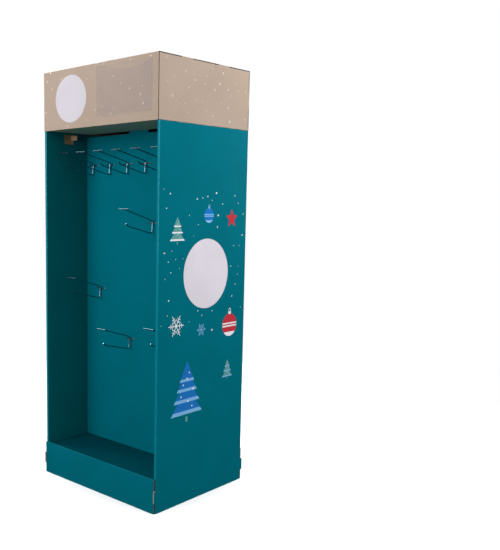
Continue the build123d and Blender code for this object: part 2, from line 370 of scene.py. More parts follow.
def dots(tree, place, kind):
    """Share of round dots of one kind: one in some of the cells of a flat map."""
    cell, rarity, smallest, largest, softness = kind
    cells = tree.nodes.new("ShaderNodeTexVoronoi")
    cells.voronoi_dimensions = "2D"
    feed_all(tree, cells, {"Vector": place, "Scale": 1 / cell})
    split = tree.nodes.new("ShaderNodeSeparateColor")
    feed(tree, split.inputs["Color"], cells.outputs["Color"])
    exists = calculate(tree, "GREATER_THAN", split.outputs["Red"], rarity)
    radius = map_range(tree, split.outputs["Blue"], 0.0, 1.0, smallest, largest)
    reach = times(tree, exists, radius)
    inside = calculate(tree, "SUBTRACT", reach, cells.outputs["Distance"])
    strength = map_range(tree, split.outputs["Green"], 0.0, 1.0, 0.35, 1.0)
    return times(tree, map_range(tree, inside, 0.0, softness), strength)


def snow_specks(tree, place):
    """Share of the speck colour: crisp flakes, blurred ones, and a drift of fine snow."""
    flakes = dots(tree, place, crisp_flakes)
    blurred = times(tree, dots(tree, place, blurred_flakes), blurred_strength)
    grain = dots(tree, place, fine_snow)
    cloud = noise(tree, place, drift_size, 1.0)
    drift = map_range(tree, cloud, 0.40, 0.60, drift_least, drift_most)
    fine = times(tree, grain, drift)
    return calculate(tree, "MAXIMUM", calculate(tree, "MAXIMUM", flakes, blurred), fine)


snow_cells = [round(kind[0] / mm, 1) for kind in (crisp_flakes, blurred_flakes, fine_snow)]
print("cells of the printed snow:", snow_cells, "mm")

# %% [markdown]
# The inks are named by where they are printed. The inner walls, the strips at front and rear, the
# lip, the shelf floors and the header wrap get copies of the same print with light or shade painted
# in: a greener tone in the bay for the light that bounces there, a lighter strip for a painted
# highlight, a slightly darker header wrap for painted shade, and a slightly darker lip and much
# darker shelf floors for painted shade, since hardly any light falls straight into the foot of a
# bay. The pale fields are darker than they look, since the panels light them strongly.

# %% Mix the inks and print the boards
teal_ink = (0.0003, 0.112, 0.150, 1)
header_ink = (0.316, 0.247, 0.197, 1)
wall_disc_ink = (0.547, 0.519, 0.570, 1)
header_disc_ink = (0.426, 0.403, 0.442, 1)
speck_ink = (0.62, 0.57, 0.50, 1)
# The underside flaps take a green-tinted kraft ink: painted teal light bounced up from the bays.
flap_bounce_ink = (0.215, 0.330, 0.255, 1)
bay_ink = (0.0003, 0.126, 0.145, 1)
# Colour of the painted shadow in the gap where the header ends stand on the walls.
joint_shadow_colour = (0.020, 0.045, 0.045, 1)
header_foot = 1378 * mm
# The directions that the ribs run across, and the flat maps of the printed snow.
upright_ribs = (1, 1, 0)
ribs_front_to_back = (1, 0, 0)
wrap_plane = ((1, 0, 0), (0, 1, 1))
end_plane = ((0, 1, 0), (0, 0, 1))
# Copies of the print with painted light: a highlight on the strips, shade on the lip, the shelf
# floors and the header wrap.
edge_highlight_ink = shade_of(teal_ink, 1.25)
base_shade_ink = shade_of(teal_ink, 0.92)
shelf_shade_ink = shade_of(teal_ink, 0.42)
wrap_shaded_ink = shade_of(header_ink, 0.943)
teal_wall = printed_board("teal_wall_print", teal_ink, upright_ribs, satin)
teal_edge_highlit = printed_board("teal_edge_print", edge_highlight_ink, upright_ribs, satin)
teal_bay = printed_board("teal_bay_print", bay_ink, upright_ribs, satin)
teal_base_shaded = printed_board("teal_base_print", base_shade_ink, upright_ribs, satin)
teal_shelf_shaded = printed_board("teal_shelf_print", shelf_shade_ink, ribs_front_to_back, satin)
wrap_shaded_print = printed_board(
    "header_wrap_print", wrap_shaded_ink, ribs_front_to_back, matt, speck_ink, wrap_plane,
)
end_print = printed_board(
    "header_end_print", header_ink, upright_ribs, matt, speck_ink, end_plane, header_foot,
)
flap_bounce_print = printed_board("header_flap_print", flap_bounce_ink, ribs_front_to_back, matt)
wall_disc_print = printed_board("wall_disc_print", wall_disc_ink, upright_ribs, matt)
header_disc_print = printed_board("header_disc_print", header_disc_ink, upright_ribs, matt)
boards = [material for material in bpy.data.materials if material.name.endswith("_print")]
print("printed boards:", len(boards))

# %% [markdown]
# Where the board is folded, the print stretches and its surface cracks a little, so a fold shows as
# a lighter line; it is made lighter still by a painted highlight where the round of the fold
# catches the light. A pressed fold is also glossier than the flat board, and its gloss takes on the
# colour of the ink. The lip's fold lies in the shade and gets little of the lighter line: painted
# shade. Inner faces show the raw brown paper. Cut rims, the floors of open slots and the hollow
# insides get raw paper painted much darker than the liner: painted shade for the dim corrugations
# and hollows.

# %% Folded and raw board
wear_size = 7 * mm
crack_size = 2 * mm
crack_relief = 0.05 * mm
fold_roughness = 0.26
fibre_size = 1.6 * mm
fibre_relief = 0.03 * mm


def creased_board(name, ink, wear_and_highlight, gloss, tint):
    """Ink on a fold, lighter from wear and a painted highlight, broken by fine cracks, with a gloss
    that the ink tints.
    """
    material, tree, shader, place = new_finish(name)
    wear = map_range(tree, noise(tree, place, wear_size, 4.0), 0.45, 0.7)
    colour = blend(tree, wear, shade_of(ink, 0.6 * wear_and_highlight), shade_of(ink, wear_and_highlight))
    feed_all(tree, shader, {"Base Color": colour, "Roughness": fold_roughness})
    feed_all(tree, shader, {"Specular IOR Level": gloss, "Specular Tint": tint})
    bump(tree, shader, times(tree, noise(tree, place, crack_size, 3.0), crack_relief))
    return material


def raw_paper(name, colour):
    """Unprinted paper with short fibres in it."""
    material, tree, shader, place = new_finish(name)
    fibres = map_range(tree, noise(tree, place, fibre_size, 5.0), 0.35, 0.7)
    paper = blend(tree, fibres, shade_of(colour, 0.78), shade_of(colour, 1.15))
    feed_all(tree, shader, {"Base Color": paper, "Roughness": 0.85})
    bump(tree, shader, times(tree, fibres, fibre_relief))
    return material


teal_tint = (0.35, 1.0, 1.0, 1)
kraft_tint = (1.0, 0.95, 0.90, 1)
# Fold lines are lighter from wear and a painted highlight; the lip's fold lies in shade and gets
# little of it.
teal_fold = creased_board("teal_fold", teal_ink, wear_and_highlight=1.9, gloss=0.9, tint=teal_tint)
base_fold = creased_board("teal_base_fold", teal_ink, wear_and_highlight=1.15, gloss=0.05, tint=teal_tint)
fold_ink = shade_of(header_ink, 0.7)
header_fold = creased_board("header_fold", fold_ink, wear_and_highlight=2.4, gloss=0.3, tint=kraft_tint)
liner = raw_paper("raw_liner", (0.40, 0.245, 0.140, 1))
# Cut rims, slot floors and hollow insides: raw paper painted much darker than the liner, as painted
# shade.
rim = raw_paper("cut_rim", (0.085, 0.060, 0.045, 1))
fluting = raw_paper("raw_fluting", (0.030, 0.020, 0.015, 1))
print("materials in the file:", len(bpy.data.materials))

# %% [markdown]
# ## Sheets from the frame
#
# The folded sheets already have their true shape in the frame. Each is copied and its loose
# triangles are merged, and the copy then stands for the node. It is worked on as by hand: the
# piece is chosen, edit mode is entered, and operators act on all that is selected there.

# %% Helpers that choose and edit
def choose_objects(*pieces):
    """Make pieces the only ones that the next operators act on, with the first one active."""
    bpy.ops.object.select_all(action="DESELECT")
    for piece in pieces:
        piece.select_set(True)
    bpy.context.view_layer.objects.active = pieces[0]


def start_edit():
    """Enter edit mode with the whole mesh selected."""
    bpy.ops.object.mode_set(mode="EDIT")
    bpy.ops.mesh.select_all(action="SELECT")


def end_edit():
    """Return to object mode, which writes the edit into the mesh."""
    bpy.ops.object.mode_set(mode="OBJECT")


def finished_copy(node, name):
    """A merged copy of a CAD node that can be cut and dressed, while the node is left alone."""
    piece = add_object(name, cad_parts[node].data.copy())
    choose_objects(piece)
    bpy.ops.mesh.customdata_custom_splitnormals_clear()
    start_edit()
    bpy.ops.mesh.remove_doubles(threshold=0.001 * mm)
    end_edit()
    piece.data.materials.clear()
    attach(piece, "root")
    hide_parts(node)
    return piece


# %% [markdown]
# A finish belongs to a kind of face: print outside, a worn line on a fold, raw paper on a cut.
# By hand one would click the faces. Here a small test of a face's middle and direction names
# the kind, which stays right for all pieces that are built alike.

# %% Helpers that dress faces
board = 3 * mm
near = 0.05 * mm


def choose_faces(piece, test):
    """Enter edit mode with only the faces selected that pass a test of middle and direction."""
    choose_objects(piece)
    start_edit()
    bpy.ops.mesh.select_mode(type="FACE")
    bpy.ops.mesh.select_all(action="DESELECT")
    end_edit()
    for face in piece.data.polygons:
        face.select = test(face.center, face.normal)
    bpy.ops.object.mode_set(mode="EDIT")


def smooth(piece, angle):
    """Smooth shading across small angles only, so that folds look round and edges stay crisp."""
    choose_objects(piece)
    bpy.ops.object.shade_smooth_by_angle(angle=radians(angle))


def dress(piece, materials, choose):
    """Give each face the material that choose names for its middle and its direction."""
    names = list(materials)
    for name in names:
        piece.data.materials.append(materials[name])
    for face in piece.data.polygons:
        face.material_index = names.index(choose(face.center, face.normal))
    smooth(piece, 30)


def is_flat(normal, axis):
    """Whether a direction lies along an axis, 0 for X, 1 for Y and 2 for Z."""
    return abs(normal[axis]) > 0.999


def is_fold(normal, first, second):
    """Whether a direction leans to two axes, as it does on the round of a fold."""
    return abs(normal[first]) > 0.05 and abs(normal[second]) > 0.05


def is_slot_floor(place, edge):
    """Whether a place lies a little way behind a cut edge, on the floor of its open slot."""
    return edge - board < place < edge - near


# %% [markdown]
# A cut through corrugated board is open: the two liners stand at its rims and a dark slot
# lies between them. The cut faces are inset by the thickness of a liner, and what is left is
# pushed in.

# %% Open the cut ends
liner_thickness = 0.32 * mm
slot_depth = 2.5 * mm


def open_cut(piece, test):
    """Sink a slot between the liners in the cut faces that pass the test."""
    choose_faces(piece, test)
    bpy.ops.mesh.inset(thickness=liner_thickness, depth=0, use_even_offset=True)
    bpy.ops.mesh.extrude_region_shrink_fatten(TRANSFORM_OT_shrink_fatten={"value": -slot_depth})
    end_edit()


print("open slot:", round((board - 2 * liner_thickness) / mm, 2), "mm wide")

# %% [markdown]
# Where a cut crosses the flutes, a wavy ribbon of paper stands in the slot. It could be a curve,
# but an edge is simpler: a plane is merged to a point, the point is extruded along one sine
# wave and then down, an array repeats the wave, and a modifier gives the paper its thickness.

# %% Flutes in a cut end
ribbon_paper = 0.16 * mm
ribbon_swing = 0.82 * mm
ribbon_steps = 10


def extrude_by(move):
    """Extrude what is selected and move the new part."""
    bpy.ops.mesh.extrude_region_move(TRANSFORM_OT_translate={"value": move})


def thicken(piece, thickness):
    """Give a sheet its thickness, half to each side."""
    paper = piece.modifiers.new("paper", "SOLIDIFY")
    paper.thickness = thickness
    paper.offset = 0
    bpy.ops.object.modifier_apply(modifier="paper")


def shrink_to_point():
    """Enter edit mode and merge a new plane into one vertex, from which a line can be drawn."""
    start_edit()
    bpy.ops.mesh.merge(type="CENTER")
    bpy.ops.mesh.select_mode(type="VERT")
    bpy.ops.mesh.select_all(action="SELECT")


def flute_ribbon(name, start, length):
    """A wavy ribbon that runs along Y from a point at the rim of a slot that opens upwards."""
    bpy.ops.mesh.primitive_plane_add(size=1)
    ribbon = bpy.context.object
    ribbon.name = name
    shrink_to_point()
    waves = int(length / flute_pitch)
    step = flute_pitch / ribbon_steps
    for turn in range(ribbon_steps):
        now = sin(2 * pi * turn / ribbon_steps)
        then = sin(2 * pi * (turn + 1) / ribbon_steps)
        extrude_by((ribbon_swing * (then - now), step, 0))
    bpy.ops.mesh.select_all(action="SELECT")
    extrude_by((0, 0, -slot_depth))
    bpy.ops.mesh.select_all(action="SELECT")
    bpy.ops.transform.translate(value=start)
    end_edit()
    row = ribbon.modifiers.new("row", "ARRAY")
    row.use_relative_offset = False
    row.use_constant_offset = True
    row.constant_offset_displace = (0, flute_pitch, 0)
    row.count = waves
    row.use_merge_vertices = True
    row.merge_threshold = 0.01 * mm
    bpy.ops.object.modifier_apply(modifier="row")
    thicken(ribbon, ribbon_paper)
    # The flutes take the dark paper: painted shade of the slot.
    ribbon.data.materials.append(fluting)
    smooth(ribbon, 50)
    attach(ribbon, "root")
    print(name, "has", waves, "waves")
    return ribbon


# %% [markdown]
# ## Side walls
#
# Each wall is one sheet folded into two plies. Its outer and inner faces are printed, and so are
# the strips at front and rear, whose print is lighter as a painted highlight, with folds beside
# them that are lighter from wear and a painted highlight. The inner faces in the bay take an ink of
# their own for the light that bounces there. The top and the windows are cut edges, and the space
# between the plies is raw. The walls are made 0.2 mm thinner on each face, and the printed shapes
# that come later fill that depth, so that nothing grows past the real size. The outer ply ends in
# the open beside the header, so its top edge gets the slot and the flutes of a real cut.

# %% Dress the side walls
print_depth = 0.2 * mm
wall_low, wall_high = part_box("side_wall_right")
wall_middle = (wall_low.x + wall_high.x) / 2
wall_squeeze = 1 - 2 * print_depth / (wall_high.x - wall_low.x)
wall_half_depth = 250 * mm


def wall_cut(centre, normal):
    """The cut top of both plies."""
    return normal.z > 0.999 and centre.z > wall_high.z - near


def wall_finish(centre, normal):
    """Print outside, on the strips and in the bay, raw paper between the plies and on cuts."""
    inside = wall_low.x + board / 2 < abs(centre.x) < wall_high.x - board / 2
    if is_flat(normal, 2):
        return "core" if normal.z > 0 and is_slot_floor(centre.z, wall_high.z) else "raw"
    if is_fold(normal, 0, 1):
        return "fold"
    if is_flat(normal, 1):
        return "edge" if abs(abs(centre.y) - wall_half_depth) < near else "raw"
    if inside:
        return "raw"
    return "bay" if abs(centre.x) < wall_middle else "print"


wall_parts = {
    "print": teal_wall, "edge": teal_edge_highlit, "bay": teal_bay,
    "fold": teal_fold, "raw": liner, "core": fluting,
}
for side, word in ((-1, "left"), (1, "right")):
    wall = finished_copy(f"side_wall_{word}", f"wall_{word}")
    start_edit()
    pivot = (side * wall_middle, 0, 0)
    bpy.ops.transform.resize(value=(wall_squeeze, 1, 1), center_override=pivot)
    end_edit()
    open_cut(wall, wall_cut)
    dress(wall, wall_parts, wall_finish)
    ribbon_x = side * (wall_middle + (wall_high.x - board / 2 - wall_middle) * wall_squeeze)
    ribbon_start = Vector((ribbon_x, -wall_half_depth + board, wall_high.z - near))
    ribbon = flute_ribbon(f"wall_{word}_flutes", ribbon_start, 2 * (wall_half_depth - board))
    print(wall.name, "has", len(wall.data.polygons), "faces")

# %% [markdown]
# ## Spine
#
# The spine is a hollow post. Its two peg panels are printed, and its narrow sides stand against the
# walls. Its inside is raw paper painted much darker than the liner, as painted shade for the dim
# hollow seen through the slit above the panels, and the rims of the peg holes are raw paper too.

# %% Dress the spine
panel_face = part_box("spine")[1].y
spine_corner = 290 * mm


def spine_finish(centre, normal):
    """Print on the outside of the panels, raw paper on cut edges and in the holes, and dark paper
    deeper inside as painted shade.
    """
    on_face = abs(abs(centre.y) - panel_face) < near
    if is_flat(normal, 1):
        return "print" if on_face else "rim"
    if is_fold(normal, 0, 1) and abs(centre.x) > spine_corner:
        return "fold"
    return "raw" if abs(centre.y) > panel_face - board - near else "rim"


spine = finished_copy("spine", "spine_board")
dress(spine, {"print": teal_wall, "fold": teal_fold, "raw": liner, "rim": rim}, spine_finish)
print(spine.name, "has", len(spine.data.polygons), "faces")

# %% [markdown]
# ## Base sheets and shelves
#
# Each base sheet rises into a lip of two plies, rolled over at the top, and the cut ends of
# the lip stay in sight at the corners of the stand. The shelves are inverted trays, with
# print on top and raw paper below.

# %% Tell the faces of the bases and shelves apart
lip_low, lip_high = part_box("base_front")
shelf_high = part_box("shelf_front")[1]


def lip_cut(centre, normal):
    """The cut ends of the lip."""
    return is_flat(normal, 0) and abs(centre.x) > lip_high.x - near


def base_finish(centre, normal):
    """Print on the lip and on the panel, raw paper in the roll, and dark paper on the cut ends as
    painted shade.
    """
    if is_flat(normal, 0):
        return "core" if is_slot_floor(abs(centre.x), lip_high.x) else "rim"
    if is_fold(normal, 1, 2):
        return "fold"
    if is_flat(normal, 2):
        return "print" if normal.z > 0 else "raw"
    outer = abs(abs(centre.y) - abs(lip_low.y)) < near
    inner = abs(abs(centre.y) - wall_half_depth) < board / 2
    return "print" if outer or inner else "raw"


def shelf_finish(centre, normal):
    """Print on the outside of the tray, raw paper inside and in the notch."""
    if is_flat(normal, 2):
        return "print" if centre.z > shelf_high.z - near else "raw"
    return "fold" if abs(normal.z) > 0.05 else "raw"


lip_height = round((lip_high.z - lip_low.z) / mm)
print("lip:", lip_height, "mm high, shelf floor at", round(shelf_high.z / mm), "mm")

# %% [markdown]
# Both bays are built alike, so one loop dresses them. The ends of the lip are opened before the
# faces get their materials, because the slots bring new faces. The trays stand on their cut
# edges, where nobody sees them, so those stay closed.

# %% Dress the bases and shelves
# The bases and trays get darker copies of the print: painted shade at the foot of the bays.
base_parts = {"print": teal_base_shaded, "fold": base_fold, "raw": liner, "rim": rim, "core": fluting}
for word in ("front", "rear"):
    base = finished_copy(f"base_{word}", f"base_sheet_{word}")
    open_cut(base, lip_cut)
    dress(base, base_parts, base_finish)
    shelf = finished_copy(f"shelf_{word}", f"shelf_tray_{word}")
    dress(shelf, {"print": teal_shelf_shaded, "fold": teal_fold, "raw": liner}, shelf_finish)
    print(base.name, "has", len(base.data.polygons), "faces,", shelf.name, len(shelf.data.polygons))

# %% [markdown]
# ## Header
#
# The header is wrapped from one sheet in a pale kraft tone, and its two ends are sheets of
# their own. The wrap is cut parallel to its flutes, so its open ends show as a dark line down
# the corners and along the top. The fingers of the ends interrupt that line, and their own
# tops are cut across the flutes.

# %% Dress the wrap
wrap_low, wrap_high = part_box("header_wrap")


def wrap_cut(centre, normal):
    """The cut ends of the wrap."""
    return is_flat(normal, 0) and abs(centre.x) > wrap_high.x - near


def wrap_finish(centre, normal):
    """Print outside, and dark paper inside and on the cut ends as painted shade."""
    if is_flat(normal, 0):
        return "core" if is_slot_floor(abs(centre.x), wrap_high.x) else "rim"
    if is_fold(normal, 1, 2):
        return "fold"
    if is_flat(normal, 1):
        if abs(centre.y) > wrap_high.y - near:
            return "print"
        return "rim" if centre.z < wrap_low.z + board else "core"
    if centre.z < wrap_low.z + near:
        return "flap"
    return "print" if centre.z > wrap_high.z - near else "core"


wrap = finished_copy("header_wrap", "header_wrap_board")
open_cut(wrap, wrap_cut)
wrap_parts = {
    "print": wrap_shaded_print, "flap": flap_bounce_print, "fold": header_fold, "rim": rim, "core": fluting,
}
dress(wrap, wrap_parts, wrap_finish)
print(wrap.name, "has", len(wrap.data.polygons), "faces")

# %% [markdown]
# Each end of the header is printed outside and hangs on the wall by its leg. Its fingers come
# up through the wrap, two at the top and one at the rear. Their tips get the slot of a cut end,
# and the ones at the top also get the flutes.

# %% Dress the ends of the header
finger_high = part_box("header_side_right")[1]
finger_middle = finger_high.x - board / 2
finger_places = (-107.5 * mm, 96 * mm)
finger_length = 60 * mm
finger_inset = 1.5 * mm


def finger_cut(centre, normal):
    """The cut tips of the fingers of a header end, two at its top and one at its rear."""
    at_top = normal.z > 0.999 and centre.z > finger_high.z - near
    at_rear = normal.y > 0.999 and centre.y > finger_high.y - near
    return at_top or at_rear


def header_end_finish(centre, normal):
    """Print on the outer face, raw paper on the lock flaps and the leg, and dark paper inside as
    painted shade.
    """
    if is_flat(normal, 0) and abs(centre.x) > finger_high.x - near:
        return "print"
    if centre.z < finger_high.z - board and centre.y < finger_high.y - board:
        return "core" if centre.z > wall_high.z else "raw"
    sunk = centre.z < finger_high.z - near and centre.y < finger_high.y - near
    return "core" if sunk and (normal.z > 0.999 or normal.y > 0.999) else "rim"


for side, word in ((-1, "left"), (1, "right")):
    end = finished_copy(f"header_side_{word}", f"header_end_{word}")
    open_cut(end, finger_cut)
    dress(end, {"print": end_print, "raw": liner, "rim": rim, "core": fluting}, header_end_finish)
    for number, place in enumerate(finger_places, start=1):
        start_y = place - finger_length / 2 + finger_inset
        start = Vector((side * finger_middle, start_y, finger_high.z - near))
        ribbon = flute_ribbon(f"header_{word}_flutes_{number}", start, finger_length)
print("fingers at the top of each end:", len(finger_places))

# %% [markdown]
# ## Sign pockets
#
# Each face of the header carries a flat pocket of clear film for a price sign. Its two plies
# are welded at three sides, it is open at the top, and a shallow arc in the front ply leaves
# room for a thumb. The film is clear where one looks straight through it and dulls the board
# where one looks along it. A faint haze makes it uneven, because film is never quite clean.

# %% Clear film
film_tone = (0.38, 0.38, 0.50, 1)
film_gloss = 0.6
film_at_a_slant = 0.10
haze_size = 70 * mm
haze_alpha = 0.012
crumple_size = 60 * mm
crumple_relief = 0.8 * mm


def clear_film(name, alpha, roughness):
    """Glossy film with an uneven haze: clear when seen straight on, duller along the surface."""
    material, tree, shader, place = new_finish(name)
    glance = tree.nodes.new("ShaderNodeLayerWeight").outputs["Facing"]
    clear = map_range(tree, glance, 0.3, 1.0, alpha, film_at_a_slant)
    haze = map_range(tree, noise(tree, place, haze_size), 0.38, 0.62, 0.0, haze_alpha)
    feed_all(tree, shader, {
        "Base Color": film_tone,
        "Roughness": roughness,
        "Specular IOR Level": film_gloss,
        "Alpha": calculate(tree, "ADD", clear, haze),
    })
    bump(tree, shader, times(tree, noise(tree, place, crumple_size), crumple_relief))
    return material


film = clear_film("pocket_film", alpha=0.011, roughness=0.32)
seam_film = clear_film("pocket_seam", alpha=0.06, roughness=0.35)
print("films:", film.name, "and", seam_film.name)

# %% [markdown]
# A sheet of film is never quite flat either. The front ply is a fine grid that is pulled up into
# a low pillow with small ripples, which catch the light unevenly, and its top row follows the
# arc. The plies end where the weld starts, because each layer that light has to pass makes the
# board darker.

# %% Shape a ply
pocket_low, pocket_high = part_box("sign_pocket_front")
pocket_width = pocket_high.x - pocket_low.x
pocket_height = pocket_high.z - pocket_low.z
pocket_middle = (pocket_low.x + pocket_high.x) / 2
pocket_base = (pocket_low.z + pocket_high.z) / 2
film_thickness = 0.3 * mm
seam_width = 3 * mm
ply_width = pocket_width - 2 * seam_width
ply_height = pocket_height - seam_width
pillow = 2.0 * mm
ripple_height = 0.3 * mm
ply_rows = 36
notch_rim = 1.5 * mm
notch_width = 228 * mm
notch_depth = 26 * mm
notch_shift = 22.5 * mm
notch_radius = (notch_width ** 2 / 4 + notch_depth ** 2) / (2 * notch_depth)


def ply_top(across):
    """How high the front ply reaches at one place across the pocket, below its thumb notch."""
    reach = across - notch_shift
    if abs(reach) > notch_width / 2:
        return pocket_height / 2
    notch = (notch_radius ** 2 - reach ** 2) ** 0.5 - (notch_radius - notch_depth)
    return pocket_height / 2 - notch


def apply_transform():
    """Write place, turn and size of the active object into its mesh."""
    bpy.ops.object.transform_apply(location=True, rotation=True, scale=True)


def film_ply(level, has_notch):
    """One ply of a pocket, flat in the XY plane, with its ripples and its notch."""
    bpy.ops.mesh.primitive_grid_add(x_subdivisions=2 * ply_rows, y_subdivisions=ply_rows, size=1)
    ply = bpy.context.object
    ply.scale = (ply_width, ply_height, 1)
    apply_transform()
    for point in ply.data.vertices:
        across = 2 * point.co.x / ply_width
        climb = point.co.y / ply_height + 0.5
        ripple = ripple_height * sin(34 * point.co.x + 5) * sin(51 * point.co.y + 21 * point.co.x)
        rise = (pillow + ripple) * (1 - across ** 2) * sin(0.72 * pi * climb)
        foot = seam_width - pocket_height / 2
        top = ply_top(point.co.x) if has_notch else pocket_height / 2
        is_rim = 1 - 1.5 / ply_rows < climb < 1 - 0.5 / ply_rows
        point.co.y = top - notch_rim if is_rim else foot + (top - foot) * climb
        point.co.z = level + max(rise, 0) if has_notch else level
    thicken(ply, film_thickness)
    ply.data.materials.append(film)
    ply.data.materials.append(seam_film)
    for face in ply.data.polygons:
        face.material_index = int(has_notch and face.center.y > ply_top(face.center.x) - notch_rim)
    smooth(ply, 40)
    return ply


print("radius of the thumb notch:", round(notch_radius / mm), "mm")

# %% [markdown]
# The weld is one narrow frame that is open at the top. A grid of six faces already has its
# layout: the corners are pulled to the rims, and the faces over the opening are deleted.

# %% Shape the weld
seam_thickness = 1.1 * mm


def film_seam(level):
    """The welded rim of a pocket, at both sides and at the foot."""
    bpy.ops.mesh.primitive_grid_add(x_subdivisions=3, y_subdivisions=2, size=1)
    weld = bpy.context.object
    half_width = pocket_width / 2
    half_height = pocket_height / 2
    for point in weld.data.vertices:
        is_outer = abs(point.co.x) > 0.4
        is_middle_row = abs(point.co.y) < 0.1
        edge_x = half_width if is_outer else half_width - seam_width
        edge_y = half_height if point.co.y > 0 else -half_height
        point.co.x = edge_x if point.co.x > 0 else -edge_x
        point.co.y = seam_width - half_height if is_middle_row else edge_y
        point.co.z = level

    def is_opening(centre, normal):
        return abs(centre.x) < half_width / 2 and centre.y > 0

    choose_faces(weld, is_opening)
    bpy.ops.mesh.delete(type="FACE")
    end_edit()
    thicken(weld, seam_thickness)
    weld.data.materials.append(seam_film)
    return weld


# %% [markdown]
# Flat shapes are drawn in the XY plane and then set on a face of the stand. By hand one would
# turn and move them, but the mesh has to hold its place itself, so one matrix does both. A face
# is given by its middle and by three directions: along the face, up, and out of it.

# %% Set flat shapes on a face
header_face = wrap_high.y
wall_face = wall_high.x - print_depth
faces = {
    "front": (Vector((1, 0, 0)), Vector((0, -header_face, 0))),
    "rear": (Vector((-1, 0, 0)), Vector((0, header_face, 0))),
    "right": (Vector((0, 1, 0)), Vector((wall_face, 0, 0))),
    "left": (Vector((0, -1, 0)), Vector((-wall_face, 0, 0))),
}


def set_on(shape, name, word, across, height, slot):
    """A copy of a flat shape, set on a face of the stand at a place along it and a height."""
    direction, origin = faces[word]
    out = direction.cross(Vector((0, 0, 1)))
    middle = origin + direction * across + Vector((0, 0, height))
    piece = add_object(name, shape.data.copy())
    piece.data.transform(Matrix((
        (direction.x, 0, out.x, middle.x),
        (direction.y, 0, out.y, middle.y),
        (direction.z, 1, out.z, middle.z),
        (0, 0, 0, 1),
    )))
    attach(piece, "root")
    return piece


def clear_away(*shapes):
    """Delete the originals once their copies are in place."""
    choose_objects(*shapes)
    bpy.ops.object.delete()


print("faces that take flat shapes:", list(faces))

# %% [markdown]
# A pocket is three pieces: a flat back ply, the weld, and the front ply with its pillow and its
# notch. Each is made once and copied to both long sides, and the originals are deleted. The back
# ply takes the place of the CAD node.

# %% Set the pockets on the header
back_level = 0.5 * mm
weld_level = 0.9 * mm
front_level = 1.3 * mm
back_ply = film_ply(back_level, False)
front_ply = film_ply(front_level, True)
seam = film_seam(weld_level)
for word in ("front", "rear"):
    back = set_on(back_ply, f"pocket_back_{word}", word, pocket_middle, pocket_base, "clear_film")
    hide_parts(f"sign_pocket_{word}")
    set_on(front_ply, f"pocket_film_{word}", word, pocket_middle, pocket_base, "clear_film")
    set_on(seam, f"pocket_seam_{word}", word, pocket_middle, pocket_base, "clear_film")
clear_away(back_ply, front_ply, seam)
print("pocket is", round(pocket_width / mm), "by", round(pocket_height / mm), "mm")

# %% [markdown]
# ## Printed shapes
#
# The header and the walls carry round pale fields, and the walls have a scatter of snow and
# a few winter motifs. They are printed on the real stand. A picture could stand for them, but
# shapes stay crisp from close by and need no file, so each is a thin solid of ink, a twentieth
# of a millimetre thick.

# %% Mix the inks of the motifs
ink_layer = 0.05 * mm
ink_step = 0.012 * mm


def flat_ink(name, colour):
    """Ink on board: an even field with the faint ribs and the satin varnish of the print."""
    return printed_board(name, colour, upright_ribs, satin)


white_ink = flat_ink("white_ink", (0.60, 0.62, 0.64, 1))
red_ink = flat_ink("red_ink", (0.40, 0.028, 0.040, 1))
blue_ink = flat_ink("blue_ink", (0.012, 0.130, 0.400, 1))
ice_ink = flat_ink("ice_ink", (0.16, 0.36, 0.60, 1))
sage_ink = flat_ink("sage_ink", (0.085, 0.240, 0.235, 1))
print("inks:", [ink.name for ink in (white_ink, red_ink, blue_ink, ice_ink, sage_ink)])

# %% [markdown]
# Motifs are cut from plain figures as one would cut paper: triangles for a tree, a ten-sided
# figure for a star, a disc for a bauble. Figures that overlap lie on levels of their own, about
# a hundredth of a millimetre apart, so that no two surfaces share a place. At the end they are
# joined and extruded to the thickness of the ink.

# %% Cut and join flat figures
def figure(sides, radius, place=(0, 0), stretch=(1, 1), turn=0, level=0, ink=None):
    """A flat figure with that many sides, solid and in one ink, at a place in the XY plane."""
    bpy.ops.mesh.primitive_circle_add(vertices=sides, radius=radius, fill_type="NGON")
    shape = bpy.context.object
    start_edit()
    bpy.ops.transform.rotate(value=-turn, orient_axis="Z", center_override=(0, 0, 0))
    bpy.ops.transform.resize(value=(*stretch, 1), center_override=(0, 0, 0))
    move = (place[0], place[1], ink_layer + level * ink_step)
    bpy.ops.transform.translate(value=move)
    end_edit()
    shape.data.materials.append(ink)
    return shape


def cut_figure(shape, height, keep_upper=False):
    """Cut a flat figure along a line across it and keep its lower or its upper part."""
    choose_objects(shape)
    start_edit()
    bpy.ops.mesh.bisect(
        plane_co=(0, height, 0), plane_no=(0, 1, 0), use_fill=False,
        clear_inner=keep_upper, clear_outer=not keep_upper,
    )
    end_edit()


def join(*parts):
    """Join objects into the first one."""
    choose_objects(*parts)
    if len(parts) > 1:
        bpy.ops.object.join()
    return parts[0]


def motif(name, shapes):
    """Join flat figures and give them the thickness of a layer of ink."""
    joined = join(*shapes)
    joined.name = name
    start_edit()
    bpy.ops.mesh.extrude_region_shrink_fatten(TRANSFORM_OT_shrink_fatten={"value": -ink_layer})
    bpy.ops.mesh.select_all(action="SELECT")
    bpy.ops.mesh.normals_make_consistent(inside=False)
    end_edit()
    print(name, "has", len(joined.data.polygons), "faces")
    return joined


# %% [markdown]
# A fir tree is a stack of triangles that grow smaller towards the top. The lower edge of each
# carries a band of snow, which is the same triangle on the next level, cut along a line.

